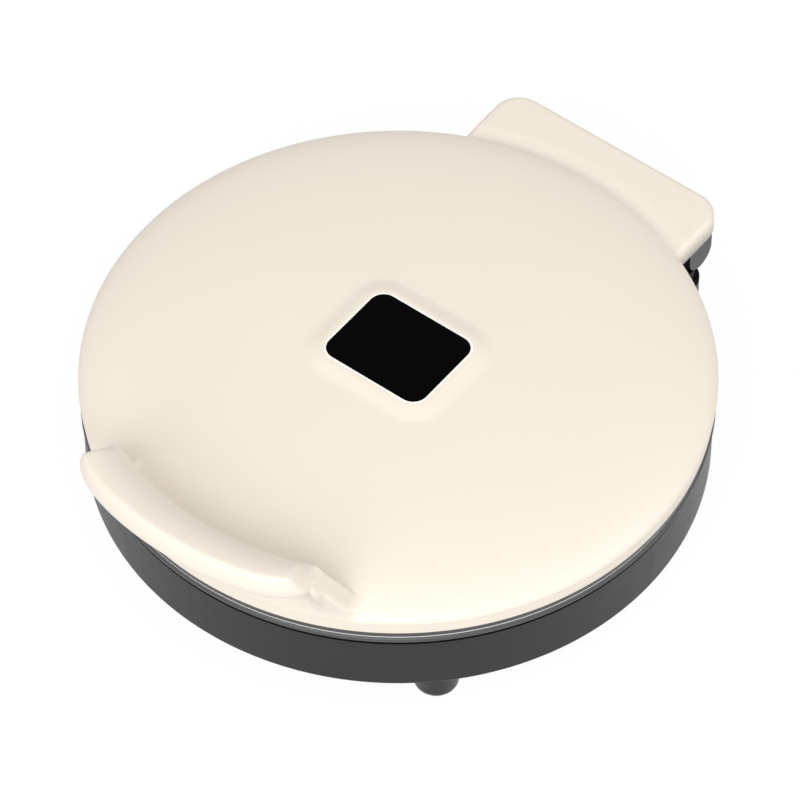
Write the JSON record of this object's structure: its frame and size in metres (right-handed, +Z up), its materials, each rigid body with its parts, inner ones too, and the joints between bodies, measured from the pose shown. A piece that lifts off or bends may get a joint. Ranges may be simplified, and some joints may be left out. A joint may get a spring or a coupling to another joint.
{
  "type": "electric baking pan",
  "caption": "Round two-plate electric baking pan with a domed lid on a floating hinge, an upswept front handle and short feet.",
  "frame": {"origin": "under the middle of the whole pan with its lid shut, on the surface that it stands on", "axes": "+Z up, +Y towards the hinge, the handle at -Y, +X to the right seen from the front"},
  "size_m": [0.342, 0.398, 0.1293],
  "materials": {
    "lid_plastic": "satin cream",
    "base_plastic": "satin dark grey",
    "nonstick_coating": "dark non-stick coat on cast aluminium",
    "trim_plastic": "dark grey",
    "panel_plastic": "glossy black",
    "arm_plastic": "mid grey",
    "hinge_plastic": "black",
    "foot_plastic": "black",
    "pad_rubber": "matt",
    "grommet_rubber": "matt",
    "terminal_plastic": "moulded",
    "wire_sleeve": "woven glass sleeve",
    "element_steel": "heat-stained",
    "shield_aluminium": "rolled",
    "shaft_steel": "ground",
    "screw_steel": "zinc plated"
  },
  "bodies": {
    "base": {"base_housing": "base_plastic", "lower_plate": "nonstick_coating", "lower_heating_element": "element_steel", "lower_heat_shield": "shield_aluminium", "lower_thermostat": "element_steel", "lower_thermal_fuse": "element_steel", "lower_plate_screws": "screw_steel", "foot_front_left": "foot_plastic", "foot_back_left": "foot_plastic", "foot_front_right": "foot_plastic", "foot_back_right": "foot_plastic", "foot_pad_front_left": "pad_rubber", "foot_pad_back_left": "pad_rubber", "foot_pad_front_right": "pad_rubber", "foot_pad_back_right": "pad_rubber", "foot_screws": "screw_steel", "guide_bolts": "screw_steel", "cord_grommet": "grommet_rubber", "terminal_block": "terminal_plastic", "base_wiring": "wire_sleeve"},
    "carriage": {"hinge_block": "hinge_plastic", "hinge_shaft": "shaft_steel"},
    "lid": {"lid_housing": "lid_plastic", "label_panel": "panel_plastic", "upper_plate": "nonstick_coating", "upper_trim_ring": "trim_plastic", "upper_heating_element": "element_steel", "upper_heat_shield": "shield_aluminium", "upper_thermostat": "element_steel", "upper_thermal_fuse": "element_steel", "upper_plate_screws": "screw_steel", "shield_screws": "screw_steel", "hinge_arms": "arm_plastic", "hinge_screws": "screw_steel", "lid_wiring": "wire_sleeve"}
  },
  "joints": [
    {"name": "hinge_float", "type": "slide", "parent": "base", "child": "carriage", "axis": [0, 0, 1], "range_m": [0, 0.012]},
    {"name": "lid_hinge", "type": "hinge", "parent": "carriage", "child": "lid", "pos_m": [0, 0.178, 0.0562], "axis": [-1, 0, 0], "range_deg": [0, 100]}
  ]
}
